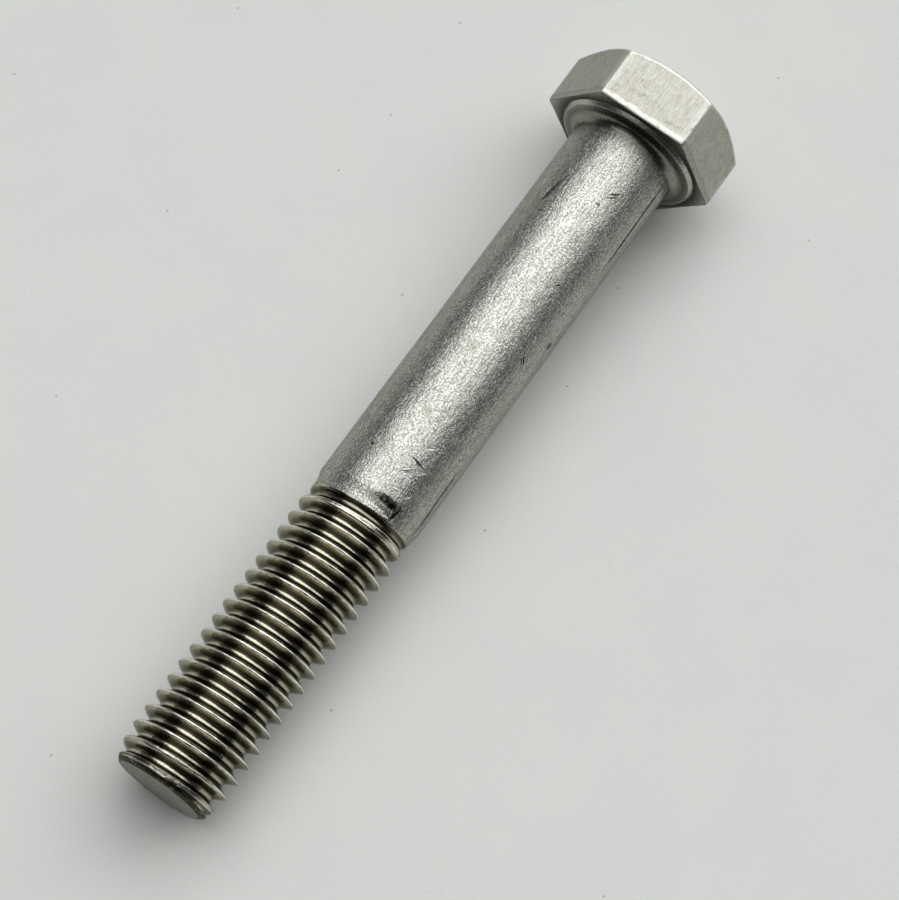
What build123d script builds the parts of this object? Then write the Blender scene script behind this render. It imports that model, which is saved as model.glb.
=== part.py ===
"""Hexagon cap screw, 1/2-13 UNC x 3 1/2 in, forged and thread-rolled from one piece of stainless steel.

Millimetres. The origin is the centre of the bearing face (the washer face under the head), the axis
is X, the head lies towards -X and the threaded end towards +X, and one flat of the hexagon faces
straight up (+Z).
"""
from build123d import *

import os
from math import cos, pi, radians, sin, tan

# Driving dimensions
length_under_head = 87.6  # bearing face to the end of the screw
shank_diameter = 12.52
across_flats = 18.7
head_height = 7.7  # includes the washer face
thread_major_diameter = 12.42
threads_per_inch = 13

# Head
washer_face_diameter = 16.6
washer_face_height = 0.45
head_chamfer_angle = 30
crown_diameter = 17.3  # flat circle inside the chamfer
hex_corner_radius = 0.7
hex_lower_edge_radius = 0.35
underhead_radius = 1.0

# Shank end and point
shank_end = 50.2  # the full diameter ends here and tapers down to the neck
neck_end = 51.25
neck_diameter = 11.8
point_start = 84.5
point_diameter = 9.9

# Thread
thread_depth = 1.13
crest_width = 0.22
flank_angle = 30  # between a flank and a plane square to the axis
groove_start_x = 51.62  # head side of the groove where it fades in
groove_start_angle = 50  # measured from +Y towards +Z
groove_turns = 17.3
fade_turns = 0.5  # the groove sinks in and rises out again over this much of a turn
steps_per_turn = 30

pitch = 25.4 / threads_per_inch
major_radius = thread_major_diameter / 2
root_radius = major_radius - thread_depth
flank_run = thread_depth * tan(radians(flank_angle))
root_width = pitch - crest_width - 2 * flank_run
groove_corners = [0, flank_run, flank_run + root_width, 2 * flank_run + root_width]


def crest_radius(x):
    """Envelope of the crests: up from the neck, along the major diameter, down the point."""
    rise = (major_radius - neck_diameter / 2) / (groove_start_x + pitch - neck_end)
    fall = (major_radius - point_diameter / 2) / (length_under_head - point_start)
    return min(
        neck_diameter / 2 + rise * (x - neck_end),
        major_radius,
        major_radius - fall * (x - point_start),
    )


def head():
    """Hexagon with rounded corners, a 30 degree chamfer round its crown and a softened lower edge."""
    corner_to_corner = across_flats / cos(radians(30))
    hex_height = head_height - washer_face_height
    outline = RegularPolygon(across_flats / 2, 6, major_radius=False)
    outline = Plane.YZ * fillet(outline.vertices(), hex_corner_radius)
    hexagon = Pos(-head_height, 0, 0) * extrude(outline, hex_height)
    hexagon = fillet(hexagon.faces().sort_by(Axis.X)[-1].edges(), hex_lower_edge_radius)
    drop = (corner_to_corner - crown_diameter) / 2 * tan(radians(head_chamfer_angle))
    turned = Polyline(
        (-head_height, 0),
        (-head_height, crown_diameter / 2),
        (-head_height + drop, corner_to_corner / 2),
        (0, corner_to_corner / 2),
        (0, 0),
        close=True,
    )
    return hexagon & revolve(make_face(turned), Axis.X)


def shank():
    """Washer face, underhead fillet, plain shank and its taper, ending square at the neck."""
    shank_radius = shank_diameter / 2
    outline = Polyline(
        (underhead_radius, shank_radius),
        (shank_end, shank_radius),
        (neck_end, neck_diameter / 2),
        (neck_end, 0),
        (-head_height / 2, 0),
        (-head_height / 2, washer_face_diameter / 2),
        (0, washer_face_diameter / 2),
        (0, shank_radius + underhead_radius),
    )
    corner = RadiusArc(outline @ 1, outline @ 0, underhead_radius)
    return revolve(make_face([*outline.edges(), corner]), Axis.X)


def angle_at(turn):
    return groove_start_angle + 360 * turn


def helix_edge(corner, start, end):
    """One corner of the groove's section between two turns. Corner 4 lies one pitch after corner 0."""
    offset = groove_corners[corner % 4] + pitch * (corner // 4)
    steps = max(2, round((end - start) * steps_per_turn))
    points = []
    for step in range(steps + 1):
        turn = start + (end - start) * step / steps
        x = groove_start_x + pitch * turn + offset
        depth = max(0, min(1, turn / fade_turns, (groove_turns - turn) / fade_turns))
        radius = crest_radius(x)
        if corner in (1, 2):
            radius -= (radius - root_radius) * (1 - cos(pi * depth)) / 2
        angle = radians(angle_at(turn))
        points.append((x, radius * cos(angle), radius * sin(angle)))
    return Edge.make_spline(points)


def cross_plane(x):
    """Plane square to the axis, with angles measured from +Y towards +Z."""
    return Plane((x, 0, 0), x_dir=(0, 1, 0), z_dir=(1, 0, 0))


def ring_edge(x, radius, start, end):
    """Arc of the circle at x, over the same angles as the groove between these turns."""
    first = angle_at(start) % 360
    return Edge.make_circle(radius, cross_plane(x), first, first + 360 * (end - start))


def thread_faces():
    """Crest, root and two flanks wound round the axis, joined to a ring at the neck and one at the end.

    Each turn is cut where the groove starts and where it ends, so that neighbouring turns share edges.
    """
    part_turn = groove_turns % 1
    whole_turns = range(int(groove_turns) + 1)
    cuts = [turn + cut for turn in whole_turns for cut in (0, part_turn)]
    spans = list(zip(cuts, cuts[1:]))
    corners = [[helix_edge(corner, *span) for span in spans] for corner in range(5)]
    faces = [
        Face.make_surface_from_curves(low, high)
        for lows, highs in zip(corners, corners[1:])
        for low, high in zip(lows, highs)
    ]
    for start, end in spans[:2]:
        ring = ring_edge(neck_end, neck_diameter / 2, start, end)
        faces.append(Face.make_surface_from_curves(ring, helix_edge(0, start, end)))
    for start, end in spans[-2:]:
        ring = ring_edge(length_under_head, point_diameter / 2, start, end)
        faces.append(Face.make_surface_from_curves(helix_edge(4, start, end), ring))
    return faces


def hex_bolt():
    """The forged blank without its cut end, the wound thread and the flat end, sewn into one solid."""
    blank = head() + shank()
    body = blank.faces().sort_by(Axis.X)[:-1]
    end_face = Face(Wire(Edge.make_circle(point_diameter / 2, cross_plane(length_under_head))))
    return Solid(Shell([*body, *thread_faces(), end_face]))


os.makedirs("parts", exist_ok=True)
bolt = hex_bolt()
bolt.label = "hex_bolt"
export_step(bolt, "parts/hex_bolt.step")
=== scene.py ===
"""Hexagon cap screw lying on a pale table: detailed mesh and worn stainless steel around the CAD frame."""

from itertools import product

import bpy
import numpy as np
from mathutils import Matrix, Vector


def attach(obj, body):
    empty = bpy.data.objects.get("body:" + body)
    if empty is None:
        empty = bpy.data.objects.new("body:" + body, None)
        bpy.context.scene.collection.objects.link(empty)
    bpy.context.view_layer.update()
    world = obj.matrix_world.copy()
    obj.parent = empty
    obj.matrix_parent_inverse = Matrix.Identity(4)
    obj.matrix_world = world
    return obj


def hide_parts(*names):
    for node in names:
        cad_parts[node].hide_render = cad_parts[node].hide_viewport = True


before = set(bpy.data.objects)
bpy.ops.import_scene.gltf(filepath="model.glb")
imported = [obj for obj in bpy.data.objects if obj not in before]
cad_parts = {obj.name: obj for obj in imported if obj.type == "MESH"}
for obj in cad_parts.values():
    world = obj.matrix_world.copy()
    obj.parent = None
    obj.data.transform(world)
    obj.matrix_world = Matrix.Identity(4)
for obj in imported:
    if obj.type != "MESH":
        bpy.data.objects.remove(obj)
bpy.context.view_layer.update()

MM = 0.001
MICRON = 1e-6
TO_MM = 1 / MM

# Sizes, in millimetres, along +X from the bearing face
LENGTH = 87.6
SHANK_R = 6.26
SHANK_UNEVEN = 0.006  # how far the radius of the shank strays
APOTHEM = 9.35
HEAD_HEIGHT = 7.7
CROWN_R = 8.65
CHAMFER_SLOPE = np.tan(np.radians(30))
CORNER_R = 0.7
LOWER_EDGE_R = 0.6
UPPER_EDGE = 0.14  # width of the worn edge between the chamfer and a flat
WASHER_HEIGHT = 0.45
WASHER_BASE_R, WASHER_R = 8.55, 8.25
FILLET_R = 1.0
TAPER_START, TAPER_LENGTH = 49.8, 1.8
NECK_R = 5.93
NECK_END = 52.2  # smooth steel up to here, and rubbed crests beyond
MAJOR_R = 6.2
ROOT_R = 5.06
PITCH = 25.4 / 13
DEPTH = MAJOR_R - ROOT_R
FLANK_SLOPE = np.radians(62)  # of a flank against the axis
ROOT_ROUND, CREST_ROUND = 0.45, 0.12
CREST_JITTER, SIDE_JITTER = 0.02, 0.008  # roughness of the crests, outwards and along the axis
POINT_START = 84.3
POINT_R = 4.97
POINT_DROP = 0.85  # how far the cone of the point would narrow by LENGTH
DISH = 0.012  # hollow of the end face
FIRST_ROOT = 53.19  # root of the first groove on the -Y side
GROOVE_START = -0.69  # turn, from +Y towards +Z, where the first groove begins
LATTICE_LOW, LATTICE_HIGH = 50.0, 87.2  # the mesh follows the helix between these
LATTICE_GAP = 0.04  # kept free at both ends of the lattice
GROOVE_LIMIT = 87.1  # no groove beyond this
COLUMNS = 144  # round the axis, a sixth of them to each side of the hexagon
HALF_ARC = 4  # columns on either side of the middle of a corner of the hexagon
THETA = 2 * np.pi * np.arange(COLUMNS) / COLUMNS
UPPER_SHADE_WEIGHT = 0.3 + 0.7 * np.clip(np.sin(THETA), 0, 1)  # weight of the painted shade, strongest on top
TOP_SHADE = 0.36  # painted shade on the flat that faces up, which dims the light on it, as a painted shade value
CORNER_WEAR, CORNER_END_WEAR = 0.8, 0.3  # along a corner of the hexagon, and where it meets the flats
SIDE_WEAR, SIDE_SHADE = 0.2, 0.4  # share of the wear, and of the painted shade, that the other lower edges have
CREST_HEIGHT, RUBBED_HEIGHT = 0.9, 0.97  # shares of the depth above which a place is crest, and rubbed

CROWN_EDGE = ((0.012, -0.08), (0.06, 0.06))  # drop from the crown, radius beyond CROWN_R

LOWER_EDGE = (  # share of LOWER_EDGE_R along the axis, share of it inwards, wear
    (0.0, 0.0, 0.2),
    (0.35, 0.03, 0.9),
    (0.72, 0.09, 1.0),
    (0.92, 0.15, 1.0),
    (0.99, 0.25, 0.6),
    (1.0, 0.38, 0.0),
)


def smooth(t):
    t = np.clip(t, 0, 1)
    return t * t * (3 - 2 * t)


def wobble(x, theta, scale, seed):
    """Gentle deterministic unevenness in x and angle, about -1 to 1."""
    waves = np.random.default_rng(seed)
    total = 0
    for _ in range(6):
        along = waves.uniform(0.3, 1) * scale
        turns = waves.integers(1, 9)
        total = total + np.sin(x * along + turns * theta + waves.uniform(0, 2 * np.pi))
    return total / 3


FLATS, BEARING, SHANK, THREAD, END = range(5)  # the zones of the bolt, each with its own steel


class Builder:
    """Collects the vertices and faces of one closed mesh, with the zone of each face.

    Each vertex also has three values from 0 to 1: wear (rubbed bright), painted shade (colour darkened to
    paint the shade of hollows and of the underside of the head, and to dim the flat that faces up) and raw
    (sheared or rough metal, on the point also darkened to paint a dark reflection).
    """

    def __init__(self):
        self.points, self.faces, self.zones = [], [], []
        self.wear, self.cavity, self.raw = [], [], []

    def vertex(self, point, wear=0.0, cavity=0.0, raw=0.0):
        self.points.append(point)
        self.wear.append(wear)
        self.cavity.append(cavity)
        self.raw.append(raw)
        return len(self.points) - 1

    def ring(self, x, y, z, wear=0.0, cavity=0.0, raw=0.0):
        x, wear, cavity = (np.broadcast_to(value, y.shape) for value in (x, wear, cavity))
        return [self.vertex((x[j], y[j], z[j]), wear[j], cavity[j], raw) for j in range(COLUMNS)]

    def circle(self, x, radius, wear=0.0, cavity=0.0, raw=0.0):
        return self.ring(x, radius * np.cos(THETA), radius * np.sin(THETA), wear, cavity, raw)

    def face(self, corners, zone):
        self.faces.append(corners)
        self.zones.append(zone)

    def join(self, low, high, zone):
        for j in range(COLUMNS):
            k = (j + 1) % COLUMNS
            self.face((low[j], low[k], high[k], high[j]), zone)

    def stack(self, rings, zone):
        for low, high in zip(rings, rings[1:]):
            self.join(low, high, zone)

    def cap(self, ring, x, zone, outward):
        centre = self.vertex((x, 0.0, 0.0))
        for j in range(COLUMNS):
            k = (j + 1) % COLUMNS
            self.face((ring[j], ring[k], centre) if outward > 0 else (ring[k], ring[j], centre), zone)


def hexagon_outline():
    """Points, outward normals and wear of the rounded hexagon, with an arc of columns on each corner."""
    centre = (APOTHEM - CORNER_R) / np.cos(np.pi / 6)
    y, z, ny, nz, rub = (np.zeros(COLUMNS) for _ in range(5))
    side = COLUMNS // 6
    for corner in range(6):
        direction = corner * np.pi / 3
        for step in range(-HALF_ARC, HALF_ARC + 1):
            angle = direction + step / HALF_ARC * np.pi / 6
            j = (corner * side + step) % COLUMNS
            y[j] = centre * np.cos(direction) + CORNER_R * np.cos(angle)
            z[j] = centre * np.sin(direction) + CORNER_R * np.sin(angle)
            ny[j], nz[j] = np.cos(angle), np.sin(angle)
            rub[j] = CORNER_WEAR if abs(step) < HALF_ARC else CORNER_END_WEAR
    for corner in range(6):
        first = corner * side + HALF_ARC
        last = first + side - 2 * HALF_ARC
        a, b = first % COLUMNS, last % COLUMNS
        for j in range(first + 1, last):
            t = (j - first) / (last - first)
            k = j % COLUMNS
            y[k], z[k] = y[a] + (y[b] - y[a]) * t, z[a] + (z[b] - z[a]) * t
            ny[k], nz[k] = ny[a], nz[a]
    return y, z, ny, nz, rub


def head(b):
    """Crown, chamfer, flats and the worn edge below them, then the bearing side."""
    y, z, ny, nz, rub = hexagon_outline()
    reach = np.hypot(y, z)
    crown_x = -HEAD_HEIGHT
    rings = [b.circle(crown_x, r) for r in (1.5, 4, 7, CROWN_R - 0.25)]
    for drop, more in CROWN_EDGE:
        rings.append(b.circle(crown_x + drop, CROWN_R + more, wear=0.6))
    b.cap(rings[0], crown_x, FLATS, -1)
    uneven = 1 + 0.35 * wobble(reach * 3, THETA * 3, 2, 11)
    soft = UPPER_EDGE * np.clip(uneven, 0.5, 1.6)
    meet = crown_x + (reach - CROWN_R) * CHAMFER_SLOPE  # where the chamfer would meet the flats

    def outline(x, inset, wear=0.0, cavity=0.0):
        return b.ring(x, y - ny * inset, z - nz * inset, np.maximum(wear, rub * (1 - cavity)), cavity)

    # Chamfer
    for part in (0.35, 0.7):
        r = CROWN_R + (reach - soft - CROWN_R) * part
        scale = r / reach
        rings.append(b.ring(crown_x + (r - CROWN_R) * CHAMFER_SLOPE, y * scale, z * scale))
    # Worn edge between the chamfer and the flats
    scale = (reach - soft) / reach
    rings.append(b.ring(meet - soft * CHAMFER_SLOPE, y * scale, z * scale, 0.5))
    rings.append(outline(meet + soft * 0.12, soft * 0.16, 1.0))
    rings.append(outline(meet + soft, 0.0, 0.6))
    # Flats
    flat_start = meet + soft
    lower = LOWER_EDGE_R * np.clip(1 + 0.2 * wobble(reach * 2, THETA * 5, 2, 5), 0.7, 1.4)
    flat_end = -WASHER_HEIGHT - lower
    top = nz > 0.9  # the flat that faces up
    # the flat that faces up gets painted shade, which dims the light on it
    dimmed = TOP_SHADE * top
    for part in (0.03, 0.12, 0.3, 0.5, 0.7, 0.88, 0.97):
        rings.append(outline(flat_start + (flat_end - flat_start) * part, 0.0, 0.0, dimmed))
    # Lower edge: its last ring is painted fully shaded, a dark line under the head, and the edges below the
    # side flats get part of that painted shade
    for part, inset, wear in LOWER_EDGE:
        shade_here = np.where(top, 0.0, SIDE_SHADE) if part < 1 else 1.0
        rub_here = np.where(top, wear, SIDE_WEAR * wear)
        rings.append(outline(flat_end + lower * part, lower * inset, rub_here, shade_here))
    b.stack(rings, FLATS)
    return bearing_side(b, rings[-1], y - ny * lower * inset, z - nz * lower * inset)


def bearing_side(b, start, hex_y, hex_z):
    """From the lower edge of the hexagon to the sloping side of the washer face, the face and the fillet."""
    rings = [start]
    # Hollow round the washer face, darkened with painted shade
    round_y, round_z = WASHER_BASE_R * np.cos(THETA), WASHER_BASE_R * np.sin(THETA)
    for part in (0.04, 0.5, 0.9, 1.0):
        y, z = hex_y + (round_y - hex_y) * part, hex_z + (round_z - hex_z) * part
        away = np.hypot(y, z) - WASHER_BASE_R
        rings.append(b.ring(-WASHER_HEIGHT, y, z, cavity=np.exp(-((away / 1.2) ** 2))))
    # Sloping side of the washer face
    for part in (0.06, 0.3, 0.6, 0.86, 0.95, 1.0):
        r = WASHER_BASE_R + (WASHER_R - WASHER_BASE_R) * part
        x = -WASHER_HEIGHT * (1 - min(part / 0.93, 1))
        rings.append(b.circle(x, r, wear=0.5 if part > 0.9 else 0.0))
    # Washer face and fillet, with painted shade that grows towards the fillet and is strongest at its top
    rings.append(b.circle(0.0, WASHER_R - 0.15, cavity=0.35))
    rings.append(b.circle(0.0, SHANK_R + FILLET_R + 0.25, cavity=0.6))
    for angle in np.radians(np.linspace(0, 90, 11)):
        r = SHANK_R + FILLET_R * (1 - np.sin(angle))
        # painted shade in the fillet, strongest on top
        shade_here = (0.75 + 0.15 * np.sin(angle)) * UPPER_SHADE_WEIGHT
        rings.append(b.circle(FILLET_R * (1 - np.cos(angle)), r, cavity=shade_here))
    b.stack(rings, BEARING)
    return rings[-1]


DENTS = (  # x, angle from +Y towards +Z in degrees, half size along X and round the shank, depth
    (7.5, 68.0, 0.6, 0.7, 0.018),
    (19.6, 58.5, 0.5, 0.6, 0.015),
    (28.5, 42.0, 0.5, 0.5, 0.02),
    (45.05, 67.5, 0.35, 1.1, 0.03),
    (46.5, 72.0, 0.9, 0.7, 0.025),
    (33.0, 98.0, 2.5, 1.2, 0.012),
)


def shank(b, start):
    """Plain shank, very slightly uneven, with its shallow knocks."""
    rings = [start]
    for x in np.concatenate([[1.3, 1.8, 2.5], np.arange(3.0, 49.6, 0.5), [TAPER_START]]):
        radius = SHANK_R + SHANK_UNEVEN * wobble(x, THETA, 0.5, 3)
        for at, angle, along, round_it, depth in DENTS:
            arc = SHANK_R * (THETA - np.radians(angle))
            radius = radius - depth * np.exp(-(((x - at) / along) ** 2) - (arc / round_it) ** 2)
        away = x - FILLET_R
        # painted shade on the shank next to the head, strongest on top
        shade_here = (0.5 * np.exp(-((away / 0.9) ** 2)) + 0.22 * np.exp(-((away / 4) ** 2))) * UPPER_SHADE_WEIGHT
        rings.append(b.ring(x, radius * np.cos(THETA), radius * np.sin(THETA), cavity=shade_here))
    b.stack(rings, SHANK)
    return rings[-1]


def thread_profile():
    """Offset from the root and share of the depth over one pitch: round root, flanks, rounded crest."""
    both = ROOT_ROUND + CREST_ROUND
    run = (DEPTH - both * (1 - np.cos(FLANK_SLOPE))) / np.tan(FLANK_SLOPE)
    root_flat = PITCH / 2 - run - both * np.sin(FLANK_SLOPE)
    half = [(0.0, 0.0)]
    for angle in np.linspace(0, FLANK_SLOPE, 6)[1:]:
        half.append((root_flat + ROOT_ROUND * np.sin(angle), ROOT_ROUND * (1 - np.cos(angle))))
    end_x, end_h = half[-1]
    for part in (0.33, 0.67):
        half.append((end_x + run * part, end_h + run * part * np.tan(FLANK_SLOPE)))
    for angle in np.linspace(FLANK_SLOPE, 0, 3):
        half.append((PITCH / 2 - CREST_ROUND * np.sin(angle), DEPTH - CREST_ROUND * (1 - np.cos(angle))))
    half = [(x, h / DEPTH) for x, h in half]
    return [(-x, h) for x, h in half[:0:-1]] + half[:-1]


NICKS = (  # turn of the crest counted from the first groove, length in turns, depth (below 0 a burr)
    (9.62, 0.05, 0.10),
    (8.40, 0.03, 0.08),
    (15.68, 0.05, -0.05),
    (15.74, 0.04, 0.09),
    (5.30, 0.03, 0.06),
)

GROOVE_TURNS = (0, 0.06, 0.2, 0.95, 1.4)  # the groove deepens over its first turn and a half
GROOVE_FLOOR = (SHANK_R + 0.02, 6.12, 5.9, 5.45, ROOT_R)  # radius of its bottom at those turns
GROOVE_HEIGHTS = (0, 0.01, 0.04, 0.42, 0.6, 1)  # shares of the depth of the groove
# painted shade in the groove at those heights: darkest from just above the root up the lower flanks, while
# the root bottom and the crest stay bright
GROOVE_SHADE = (0.0, 0.5, 1.0, 0.8, 0.1, 0.0)
FIRST_TURN_SHADE = 0.4  # painted shade added in the first turn, next to the neck
CREST_TORN = 0.3  # share of the sheared, darkened look of the point, which partly paints a dark reflection, that its crests have


def surface(x, theta, ridge):
    """Radius of the blank that the grooves are rolled into: neck, low first ridge, thread, then the point.

    ridge counts turns along the crest that the place belongs to.
    """
    neck = SHANK_R - (SHANK_R - NECK_R) * smooth((x - TAPER_START) / TAPER_LENGTH)
    body = neck + (MAJOR_R - NECK_R) * smooth((ridge - 0.1) / 0.4)
    s = np.clip((x - POINT_START) / (LENGTH - POINT_START), 0, 1)
    return body - POINT_DROP * s**1.3 * (1 - 0.15 * np.cos(theta))


def thread(b, start):
    """A lattice that follows the helix, so that crests and roots are clean lines, and a ring at its end."""
    rough = np.random.default_rng(7)
    profile = thread_profile()
    rows = len(profile)
    turns = range(-3, int((LENGTH - FIRST_ROOT) / PITCH) + 2)
    columns, plain = [], set()
    for j, theta in enumerate(THETA):
        column = {}
        for count, (row, (offset, height)) in product(turns, enumerate(profile)):
            x = FIRST_ROOT + PITCH * (j / COLUMNS - 0.5 + count) + offset
            if not LATTICE_LOW + LATTICE_GAP < x < LATTICE_HIGH - LATTICE_GAP:
                continue
            turn = count + j / COLUMNS - GROOVE_START
            blank = surface(x, theta, count + j / COLUMNS - (offset < 0))
            rolled = float(np.interp(turn, GROOVE_TURNS, GROOVE_FLOOR)) + DEPTH * height
            grooved = turn >= 0 and x < GROOVE_LIMIT and rolled < blank
            radius = rolled if grooved else blank
            crest = height > CREST_HEIGHT
            if crest:
                crest_turn = turn - (offset < 0)
                for at, length, depth in NICKS:
                    radius -= depth * np.exp(-(((crest_turn - at) / length * 2) ** 2))
                radius += rough.normal() * CREST_JITTER
                x += rough.normal() * SIDE_JITTER
            cut = smooth((rolled - blank - 0.02) / 0.1) if x > POINT_START else 0.0
            if crest:
                cut *= CREST_TORN
            wear = 1.0 if height > RUBBED_HEIGHT and x > NECK_END else 0.0
            place = (x, radius * np.cos(theta), radius * np.sin(theta))
            shade_amount = 0.0
            # painted shade in the groove
            if grooved:
                shade_amount = np.interp(height, GROOVE_HEIGHTS, GROOVE_SHADE) + FIRST_TURN_SHADE * (turn < 1.1)
            column[count * rows + row] = b.vertex(place, wear, min(shade_amount, 1.0), cut)
            if not grooved and x < NECK_END:
                plain.add(column[count * rows + row])
        columns.append(column)
    rim = surface(LATTICE_HIGH, THETA, len(turns))
    finish = b.ring(LATTICE_HIGH, rim * np.cos(THETA), rim * np.sin(THETA), raw=1.0)

    def add(*corners):
        b.face(corners, SHANK if plain.issuperset(corners) else THREAD)

    plain.update(start)
    for j in range(COLUMNS):
        k = (j + 1) % COLUMNS
        shift = rows if k == 0 else 0
        left = columns[j]
        right = {label - shift: v for label, v in columns[k].items()}
        shared = sorted(set(left) & set(right))
        for label in shared[:-1]:
            add(left[label], right[label], right[label + 1], left[label + 1])
        early = sorted((label for label in right if label < shared[0]), reverse=True)
        fan = [left[shared[0]], right[shared[0]], *(right[label] for label in early), start[k]]
        for one, two in zip(fan, fan[1:]):
            add(start[j], two, one)
        late = sorted(label for label in left if label > shared[-1])
        fan = [left[shared[-1]], *(left[label] for label in late), finish[j], finish[k]]
        for one, two in zip(fan, fan[1:]):
            add(one, right[shared[-1]], two)
    return finish, rim


POINT_EDGE = ((0.35, 0.24), (0.7, 0.52), (0.96, 0.8), (1.0, 1.0))  # shares of its length and of its drop


def point(b, start, rim):
    """The end of the screw: a rounded edge from the chamfer down to the sheared face."""
    rings = [start]
    for part, drop in POINT_EDGE:
        x = LATTICE_HIGH + (LENGTH - LATTICE_HIGH) * part
        r = rim - (rim - POINT_R) * drop + 0.02 * np.sin(7 * THETA) * (1 - part)
        rings.append(b.ring(x, r * np.cos(THETA), r * np.sin(THETA), raw=1.0))
    b.stack(rings, THREAD)
    rings = [rings[-1]]
    for r in (POINT_R - 0.06, POINT_R - 0.4, 3.6, 2.4, 1.2):
        rings.append(b.circle(LENGTH - DISH * (r < POINT_R - 0.1), r, raw=0.2))
    b.stack(rings, END)
    b.cap(rings[-1], LENGTH - DISH, END, 1)


def build_bolt(materials):
    b = Builder()
    under_end = head(b)
    shank_end = shank(b, under_end)
    finish, rim = thread(b, shank_end)
    point(b, finish, rim)
    mesh = bpy.data.meshes.new("bolt_detail")
    mesh.from_pydata([tuple(c * MM for c in p) for p in b.points], [], b.faces)
    for material in materials:
        mesh.materials.append(material)
    mesh.polygons.foreach_set("material_index", b.zones)
    mesh.polygons.foreach_set("use_smooth", [True] * len(b.faces))
    for name, values in (("wear", b.wear), ("cavity", b.cavity), ("raw", b.raw)):
        layer = mesh.attributes.new(name, "FLOAT", "POINT")
        layer.data.foreach_set("value", np.array(values, np.float32))
    mesh.update()
    mesh.validate()
    bolt = bpy.data.objects.new("bolt_detail", mesh)
    bpy.context.collection.objects.link(bolt)
    return bolt


def node(tree, kind, inputs=None, **settings):
    made = tree.nodes.new(kind)
    for key, value in settings.items():
        setattr(made, key, value)
    for key, value in (inputs or {}).items():
        if isinstance(value, bpy.types.NodeSocket):
            tree.links.new(value, made.inputs[key])
        else:
            made.inputs[key].default_value = value
    return made


def noise(tree, vector, scale, detail=3.0, rough=0.6):
    inputs = {"Vector": vector, "Scale": scale, "Detail": detail, "Roughness": rough}
    return node(tree, "ShaderNodeTexNoise", inputs).outputs["Fac"]


def spread(tree, value, low, high, to_low, to_high):
    inputs = {"Value": value, "From Min": low, "From Max": high, "To Min": to_low, "To Max": to_high}
    return node(tree, "ShaderNodeMapRange", inputs).outputs["Result"]


def combine(tree, operation, one, two):
    return node(tree, "ShaderNodeMath", {0: one, 1: two}, operation=operation).outputs[0]


def in_mm(tree, stretch=1):
    """Place on the object in millimetres, with X drawn out stretch times."""
    place = node(tree, "ShaderNodeTexCoord").outputs["Object"]
    inputs = {"Vector": place, "Scale": (TO_MM / stretch, TO_MM, TO_MM)}
    return node(tree, "ShaderNodeMapping", inputs).outputs["Vector"]


def blend(tree, factor, one, two):
    """Mix of two colours, each a colour or a socket."""
    mix = tree.nodes.new("ShaderNodeMix")
    mix.data_type = "RGBA"
    for index, value in ((0, factor), (6, one), (7, two)):
        if isinstance(value, bpy.types.NodeSocket):
            tree.links.new(value, mix.inputs[index])
        else:
            mix.inputs[index].default_value = value if index == 0 else (*value, 1)
    return mix.outputs[2]


COLOUR = (0.475, 0.48, 0.453)
FLAT_COLOUR = (0.505, 0.51, 0.475)
THREAD_COLOUR = (0.54, 0.518, 0.426)
DULL, SHADED, TORN_AND_SHADED, SCRATCH_AND_REFLECTION = 0.5, 0.16, 0.10, 0.04  # how much of the steel's colour is left: in stains, in painted shade, in sheared metal that also paints a dark reflection, and in dark marks, which include a painted reflection line
GRAZING_TINT = (0.55, 0.55, 0.53, 1)
SCRATCH_DEPTH = 70  # micrometres
WAVER = 0.3  # how far, in mm, a mark wanders from its line

# x, angle from +Y towards +Z in degrees, length, width, turn from X towards the angle in degrees, darkness
# (below 0 for a bright mark)
MARKS = (
    (7.25, 68.5, 1.3, 0.18, 49, 1.0),
    (7.75, 68.5, 1.3, 0.16, 49, 0.8),
    (9.45, 76.5, 0.5, 0.16, 90, 0.8),
    (19.6, 60.8, 1.0, 0.18, 42, 1.0),
    (19.5, 56.0, 0.7, 0.16, 48, 0.9),
    (28.4, 41.3, 1.0, 0.18, -46, 1.0),
    (28.65, 42.6, 0.9, 0.16, -46, 0.9),
    (27.45, 63.8, 0.5, 0.16, 90, -0.8),
    (29.95, 65.5, 0.6, 0.16, 88, -1.0),
    (24.7, 20.5, 1.0, 0.7, 10, 1.0),
    # the next two are not scratches: they paint the dark line of a reflection along the lower side of the
    # shank
    (7.4, 23.8, 12.6, 0.34, -1, 1.0),
    (46.6, 18.5, 9.0, 0.34, -2, 1.0),
    (43.2, 69.0, 1.3, 0.18, 50, -1.0),
    (45.05, 67.5, 1.9, 0.24, 100, 1.0),
    (45.75, 60.0, 0.9, 0.16, 45, -0.7),
    (46.2, 74.0, 1.3, 0.16, 50, -0.9),
    (46.45, 73.2, 1.3, 0.14, 50, 0.8),
    (46.75, 72.5, 1.3, 0.16, 50, -1.0),
    (48.7, 73.0, 1.0, 0.16, 70, -0.8),
    (48.65, 56.5, 0.8, 0.16, 45, -0.8),
    (46.0, 118.0, 0.6, 0.28, 90, 1.0),
    (50.4, 69.0, 2.9, 0.95, 92, 1.0),
    (50.9, 56.0, 1.9, 0.60, 0, 1.0),
    (10.6, 126.0, 3.4, 0.80, 10, 0.7),
)


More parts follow.
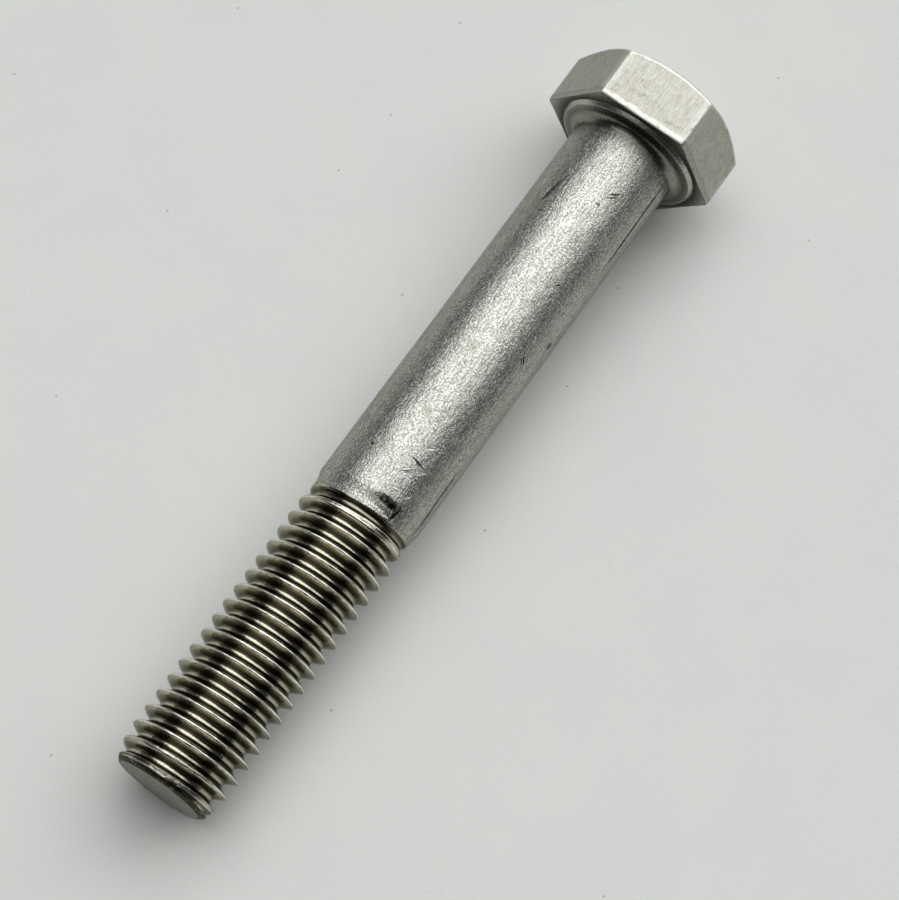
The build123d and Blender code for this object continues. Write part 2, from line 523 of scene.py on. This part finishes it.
def marks(tree, spot):
    """Scratches, smudges and a painted dark reflection line on the shank: how dark, how bright and how deep
    each place is.
    """
    parts = node(tree, "ShaderNodeSeparateXYZ", {"Vector": spot}).outputs
    around = combine(tree, "ARCTAN2", parts["Z"], parts["Y"])
    uneven = noise(tree, spot, 2.5, 2.0, 0.5)
    wander = combine(tree, "MULTIPLY", uneven, WAVER)
    arc = combine(tree, "ADD", combine(tree, "MULTIPLY", around, SHANK_R), wander)
    flat = node(tree, "ShaderNodeCombineXYZ", {"X": parts["X"], "Y": arc, "Z": 0.0}).outputs["Vector"]
    dark = bright = deep = 0.0
    for x, angle, length, width, turn, darkness in MARKS:
        settings = {
            "Vector": flat,
            "Location": (x, np.radians(angle) * SHANK_R + WAVER / 2, 0),
            "Rotation": (0, 0, np.radians(turn)),
            "Scale": (length / 2, width / 2, 1),
        }
        inside = node(tree, "ShaderNodeMapping", settings, vector_type="TEXTURE").outputs["Vector"]
        reach = node(tree, "ShaderNodeVectorMath", {0: inside}, operation="LENGTH").outputs["Value"]
        cover = spread(tree, reach, 0.65, 1.25, 1.0, 0.0)
        deep = combine(tree, "MAXIMUM", cover, deep)
        shade = combine(tree, "MULTIPLY", cover, abs(darkness))
        if darkness > 0:
            dark = combine(tree, "MAXIMUM", shade, dark)
        else:
            bright = combine(tree, "MAXIMUM", shade, bright)
    broken = spread(tree, noise(tree, spot, 2.0, 3.0, 0.7), 0.38, 0.52, 0.5, 1.0)
    return combine(tree, "MULTIPLY", dark, broken), bright, deep


def darker(colour, share):
    """The colour at this share of its brightness, and slightly warmer."""
    return tuple(part * share * tint for part, tint in zip(colour, (1.0, 0.97, 0.85)))


def steel(
    name,
    colour,
    roughness,
    grains,
    streak,
    stretch,
    stain,
    shade_amount,
    rub=0.62,
    fleck=0.2,
    grainy=0.67,
    marked=False,
):
    """Worn stainless steel.

    grains lists the size in mm and the height in micrometres of each layer of even grain. streak is the
    height in micrometres of the drawn lines, which are stretch times longer along X than across. stain is
    how strongly the dull patches show, shade_amount how strongly the painted shade darkens the colour, rub
    how bright the worn edges are, and fleck how much the colour varies. grainy is the share of that
    variation which isn't drawn out along X. marked adds the scratches and smudges of the shank, and the
    painted dark line of a reflection along it.
    """
    material = bpy.data.materials.new(name)
    material.use_nodes = True
    tree = material.node_tree
    shader = tree.nodes["Principled BSDF"]
    shader.inputs["Metallic"].default_value = 1.0
    shader.inputs["Specular Tint"].default_value = GRAZING_TINT
    spot = in_mm(tree)
    drawn = in_mm(tree, stretch)
    wear, cavity, raw = (
        node(tree, "ShaderNodeAttribute", attribute_name=key).outputs["Fac"]
        for key in ("wear", "cavity", "raw")
    )
    cloud = spread(tree, noise(tree, spot, 0.22), 0.38, 0.66, 0.0, 1.0)
    flecks = spread(tree, noise(tree, spot, 1.3, 4.0, 0.7), 0.5, 0.72, 0.0, 1.0)
    lines = noise(tree, drawn, 5.5, 4.0, 0.65)
    dots = combine(tree, "MULTIPLY", noise(tree, spot, 6.5, 2.0, 0.6), grainy)
    speckle = combine(tree, "ADD", dots, combine(tree, "MULTIPLY", lines, 1 - grainy))
    speckle = spread(tree, speckle, 0.42, 0.58, 0.0, 1.0)
    dimmed = combine(tree, "MULTIPLY", combine(tree, "MULTIPLY", cloud, flecks), stain)
    rubbed = combine(tree, "MULTIPLY", wear, spread(tree, flecks, 0.0, 1.0, 1.0, 0.35))
    base = blend(tree, speckle, darker(colour, 1 - fleck), tuple(part * (1 + fleck) for part in colour))
    base = blend(tree, dimmed, base, darker(colour, DULL))
    # painted shade: the colour is darkened where the painted shade value is high
    base = blend(tree, combine(tree, "MULTIPLY", cavity, shade_amount), base, darker(colour, SHADED))
    base = blend(tree, rubbed, base, (rub, rub, rub * 0.95))
    # sheared metal, darkened so far that it also paints the dark reflection at the point
    torn_and_shaded = combine(tree, "MULTIPLY", raw, spread(tree, flecks, 0.0, 1.0, 1.0, 0.6))
    base = blend(tree, torn_and_shaded, base, darker(colour, TORN_AND_SHADED))
    height = lines  # of the drawn lines, less the scratches
    if marked:
        dark, bright, deep = marks(tree, spot)
        # dark marks, among them the painted dark line of a reflection
        base = blend(tree, dark, base, darker(colour, SCRATCH_AND_REFLECTION))
        base = blend(tree, bright, base, (rub, rub, rub))
        cut = combine(tree, "MULTIPLY", deep, SCRATCH_DEPTH / streak)
        height = combine(tree, "SUBTRACT", lines, cut)
    tree.links.new(base, shader.inputs["Base Color"])
    rough = spread(tree, lines, 0.3, 0.7, roughness * 0.85, roughness * 1.2)
    for value, more in ((dimmed, 0.12), (wear, 0.16), (raw, 0.12)):
        rough = combine(tree, "ADD", rough, combine(tree, "MULTIPLY", value, more))
    tree.links.new(rough, shader.inputs["Roughness"])
    normal = {}
    for size, tall in grains:
        inputs = {"Height": noise(tree, spot, 1 / size, 2.0, 0.5), "Strength": 1.0}
        bump = node(tree, "ShaderNodeBump", inputs | {"Distance": tall * MICRON} | normal)
        normal = {"Normal": bump.outputs["Normal"]}
    inputs = {"Height": height, "Strength": 1.0, "Distance": streak * MICRON}
    bump = node(tree, "ShaderNodeBump", inputs | normal)
    tree.links.new(bump.outputs["Normal"], shader.inputs["Normal"])
    return material


FLOOR_COLOURS = (0.75, 0.77, 0.745), (0.772, 0.793, 0.763)  # between the two, in a faint mottle
FLOOR_FINE = (0.745, 0.764, 0.738)  # mixed in by the fine grain
SPECK_COLOUR = (0.43, 0.44, 0.42)


def floor_material():
    """Pale smooth board with a faint mottle and a few specks of dust."""
    material = bpy.data.materials.new("floor_paint")
    material.use_nodes = True
    tree = material.node_tree
    shader = tree.nodes["Principled BSDF"]
    spot = in_mm(tree)
    mottle = spread(tree, noise(tree, spot, 0.08, 4.0, 0.6), 0.35, 0.65, 0.0, 1.0)
    fine = spread(tree, noise(tree, spot, 1.6, 3.0, 0.6), 0.3, 0.7, 0.0, 1.0)
    base = blend(tree, mottle, *FLOOR_COLOURS)
    base = blend(tree, combine(tree, "MULTIPLY", fine, 0.35), base, FLOOR_FINE)
    cells = node(tree, "ShaderNodeTexVoronoi", {"Vector": spot, "Scale": 0.085}, voronoi_dimensions="2D")
    near = spread(tree, cells.outputs["Distance"], 0.004, 0.017, 1.0, 0.0)
    rare = combine(tree, "GREATER_THAN", cells.outputs["Color"], 0.66)
    speck = combine(tree, "MULTIPLY", near, rare)
    base = blend(tree, speck, base, SPECK_COLOUR)
    tree.links.new(base, shader.inputs["Base Color"])
    shader.inputs["Roughness"].default_value = 0.65
    shader.inputs["Specular IOR Level"].default_value = 0.25
    bump = node(tree, "ShaderNodeBump", {"Height": fine, "Strength": 1.0, "Distance": 12 * MICRON})
    tree.links.new(bump.outputs["Normal"], shader.inputs["Normal"])
    return material


def make_floor():
    """Table top that the lower edge of the head and the thread near the point rest on."""
    head_x, head_z = -WASHER_HEIGHT - LOWER_EDGE_R, -APOTHEM
    slope = (-MAJOR_R - head_z) / (POINT_START - head_x)
    half = 900.0
    corners = []
    for x, y in ((-half, -half), (half, -half), (half, half), (-half, half)):
        corners.append((x * MM, y * MM, (head_z + slope * (x - head_x)) * MM))
    mesh = bpy.data.meshes.new("floor")
    mesh.from_pydata(corners, [], [(0, 1, 2, 3)])
    mesh.materials.append(floor_material())
    floor = bpy.data.objects.new("floor", mesh)
    bpy.context.collection.objects.link(floor)


CAMERA_AT = Vector((124.674, 29.624, 272.856)) * MM
CAMERA_AIM = Vector((40.086, 3.560, 0)) * MM
CAMERA_ROLL = np.radians(18.1648)
CAMERA_LENS, CAMERA_SENSOR = 107.05, 36  # mm


def make_camera():
    data = bpy.data.cameras.new("camera")
    data.sensor_width = CAMERA_SENSOR
    data.lens = CAMERA_LENS
    data.clip_start = 0.01
    camera = bpy.data.objects.new("camera", data)
    level = (CAMERA_AIM - CAMERA_AT).to_track_quat("-Z", "Y").to_matrix().to_4x4()
    camera.matrix_world = Matrix.Translation(CAMERA_AT) @ level @ Matrix.Rotation(CAMERA_ROLL, 4, "Z")
    bpy.context.collection.objects.link(camera)
    bpy.context.scene.camera = camera


NEAR_ZERO = 0.02
ROOM = 0.03  # light from everywhere else
PANELS = (  # azimuth and elevation in degrees, width, height, softness of the edge, strength
    (232, 67, 0.95, 0.73, 0.2, 1.82),
    (180, 28, 1.5, 1.06, 0.3, 1.5),
    (140, 54, 0.7, 0.6, 0.4, 1.3),
    (300, 62, 0.9, 0.6, 0.6, 0.75),
    (130, 82, 0.5, 0.5, 0.4, 0.6),
    (250, 14, 1.6, 0.35, 0.4, 0.1),
    (100, 20, 1.4, 0.5, 0.5, 0.02),
)


def panel(tree, direction, azimuth, elevation, width, height, soft, strength):
    """Distant soft panel: the direction of its middle in degrees, and its sizes at unit distance."""
    az, el = np.radians(azimuth), np.radians(elevation)
    out = Vector((np.cos(el) * np.cos(az), np.cos(el) * np.sin(az), np.sin(el)))
    across = Vector((-np.sin(az), np.cos(az), 0))
    up = out.cross(across)
    depth, sideways, upwards = (
        node(
            tree, "ShaderNodeVectorMath", {0: direction, 1: axis}, operation="DOT_PRODUCT"
        ).outputs["Value"]
        for axis in (out, across, up)
    )
    light = combine(tree, "GREATER_THAN", depth, NEAR_ZERO)
    safe = combine(tree, "MAXIMUM", depth, NEAR_ZERO)
    for value, half in ((sideways, width / 2), (upwards, height / 2)):
        offset = combine(tree, "DIVIDE", value, safe)
        reach = node(tree, "ShaderNodeMath", {0: offset}, operation="ABSOLUTE")
        inputs = {"Value": reach.outputs[0], "From Min": half - soft / 2, "From Max": half + soft / 2}
        fade = {"To Min": 1.0, "To Max": 0.0}
        edge = node(tree, "ShaderNodeMapRange", inputs | fade, interpolation_type="SMOOTHSTEP")
        light = combine(tree, "MULTIPLY", light, edge.outputs["Result"])
    return combine(tree, "MULTIPLY", light, strength)


def make_lights():
    world = bpy.data.worlds.new("room")
    bpy.context.scene.world = world
    world.use_nodes = True
    tree = world.node_tree
    direction = node(tree, "ShaderNodeTexCoord").outputs["Generated"]
    total = ROOM
    for values in PANELS:
        total = combine(tree, "ADD", panel(tree, direction, *values), total)
    background = tree.nodes["Background"]
    background.inputs["Color"].default_value = (1, 1, 1, 1)
    tree.links.new(total, background.inputs["Strength"])


bpy.context.scene.view_settings.view_transform = "Standard"
make_camera()
make_floor()
make_lights()
flats_steel = steel(
    "steel_flats",
    FLAT_COLOUR,
    roughness=0.32,
    grains=((0.15, 22), (0.5, 22), (1.3, 20)),
    streak=40,
    stretch=8,
    stain=0.8,
    shade_amount=0.8,
    rub=0.8,
    fleck=0.17,
    grainy=0.45,
)
bearing_steel = steel(
    "steel_bearing",
    COLOUR,
    roughness=0.26,
    grains=((0.3, 25), (1.2, 25)),
    streak=3,
    stretch=1,
    stain=0.6,
    shade_amount=1.0,
)
shank_steel = steel(
    "steel_shank",
    COLOUR,
    roughness=0.22,
    grains=((0.12, 44), (0.34, 46), (0.9, 30)),
    streak=45,
    stretch=12,
    stain=0.8,
    shade_amount=0.8,
    rub=0.85,
    fleck=0.45,
    marked=True,
)
thread_steel = steel(
    "steel_thread",
    THREAD_COLOUR,
    roughness=0.15,
    grains=((0.18, 16), (0.5, 16), (1.4, 12)),
    streak=2,
    stretch=1,
    stain=0.3,
    shade_amount=0.97,
    rub=0.93,
)
end_steel = steel(
    "steel_end",
    COLOUR,
    roughness=0.45,
    grains=((0.22, 60), (0.8, 60)),
    streak=4,
    stretch=1,
    stain=0.4,
    shade_amount=0.8,
)
bolt = build_bolt([flats_steel, bearing_steel, shank_steel, thread_steel, end_steel])
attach(bolt, "root")
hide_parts("hex_bolt")
